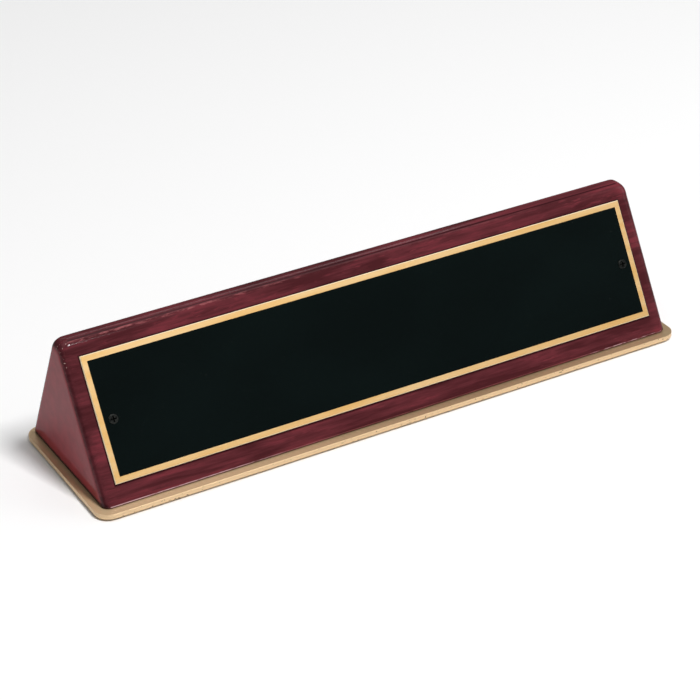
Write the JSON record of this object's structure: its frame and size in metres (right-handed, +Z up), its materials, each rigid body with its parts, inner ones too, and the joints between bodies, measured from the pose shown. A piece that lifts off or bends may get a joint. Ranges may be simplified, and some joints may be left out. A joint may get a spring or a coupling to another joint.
{
  "type": "desk name plate",
  "caption": "Lacquered wooden wedge on a thin gold metal base, with a black-coated brass plate screwed to its sloping front to carry a name on a desk.",
  "frame": {"origin": "on the desk, under the middle of the base", "axes": "+X along the length, towards the right of someone who reads the plate; +Y from the plate to the back; +Z up"},
  "size_m": [0.2746, 0.0778, 0.062],
  "materials": {
    "lacquered_wood": "red-brown stain under a clear gloss lacquer",
    "gold_base": "pale gold, satin to polished",
    "brass_sheet": "fine brushed, lacquered",
    "black_coat": "black coat, semi-gloss",
    "black_screw": "black oxide",
    "steel_screw": "bright zinc plate",
    "felt": "pressed brown felt"
  },
  "bodies": {
    "root": {"wedge_body": "lacquered_wood", "base_plate": "gold_base", "name_plate": "brass_sheet", "black_field": "black_coat", "plate_screw_left": "black_screw", "plate_screw_right": "black_screw", "base_screw_left": "steel_screw", "base_screw_right": "steel_screw", "felt_pad_front_left": "felt", "felt_pad_front_right": "felt", "felt_pad_back_left": "felt", "felt_pad_back_right": "felt"}
  },
  "joints": []
}
